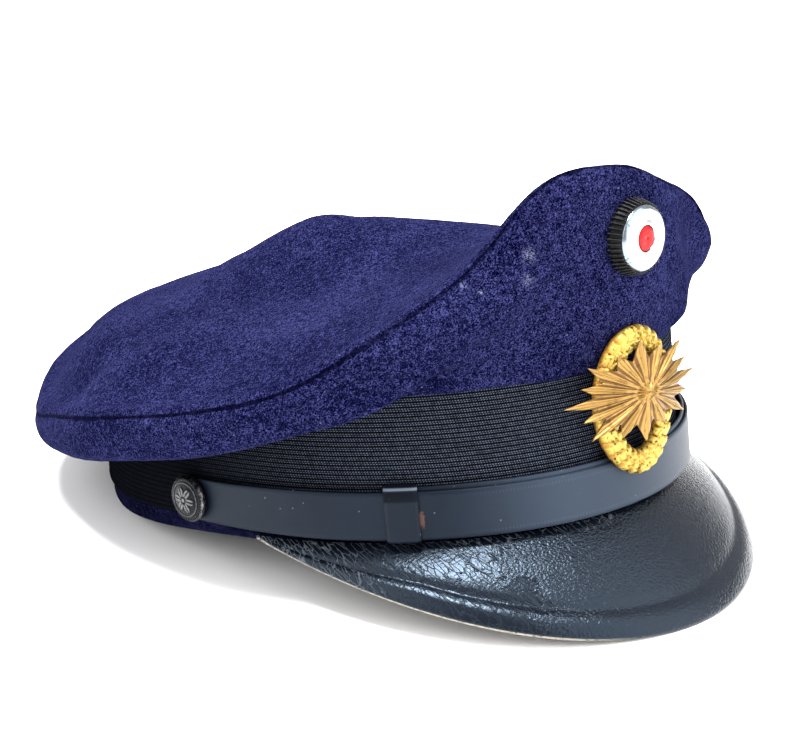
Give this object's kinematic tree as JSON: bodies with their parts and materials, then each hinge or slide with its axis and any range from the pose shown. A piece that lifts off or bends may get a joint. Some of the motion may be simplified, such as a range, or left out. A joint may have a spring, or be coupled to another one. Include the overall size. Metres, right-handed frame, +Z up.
{
  "type": "peaked cap",
  "caption": "Peaked uniform cap with a dented soft felt crown, a ribbed band, a leather chin strap, a lacquered peak, a cockade and a gilt badge.",
  "frame": {"origin": "middle of the cap's bounding box at the height of the surface it rests on", "axes": "+Z up, -Y the way the cap faces, +X the wearer's left"},
  "size_m": [0.2142, 0.2664, 0.1323],
  "materials": {
    "felt": "dark blue wool felt, matt with a short nap",
    "mohair": "black ribbed braid, matt",
    "lacquer": "black lacquer, glossy, crackled near the strap",
    "strap_leather": "blue-black dyed leather, satin",
    "black_metal": "blackened, worn bright on its rim",
    "yellow_gilt": "yellow gilt, satin, with dark specks",
    "bronze_gilt": "bronze-coloured gilt, satin",
    "black_cord": "black, toothed like a corded edge",
    "pale_metal": "polished pale metal with fine rings",
    "red_enamel": "red enamel, glossy"
  },
  "bodies": {
    "root": {"crown_top": "felt", "crown_side_front": "felt", "crown_side_right": "felt", "crown_side_back": "felt", "crown_side_left": "felt", "wool_band": "felt", "mohair_band": "mohair", "peak": "lacquer", "chin_strap_outer": "strap_leather", "chin_strap_inner": "strap_leather", "keeper_right": "strap_leather", "keeper_left": "strap_leather", "button_right": "black_metal", "button_left": "black_metal", "badge_wreath": "yellow_gilt", "badge_star": "bronze_gilt", "cockade_rosette": "black_cord", "cockade_disc": "pale_metal", "cockade_centre": "red_enamel"}
  },
  "joints": []
}
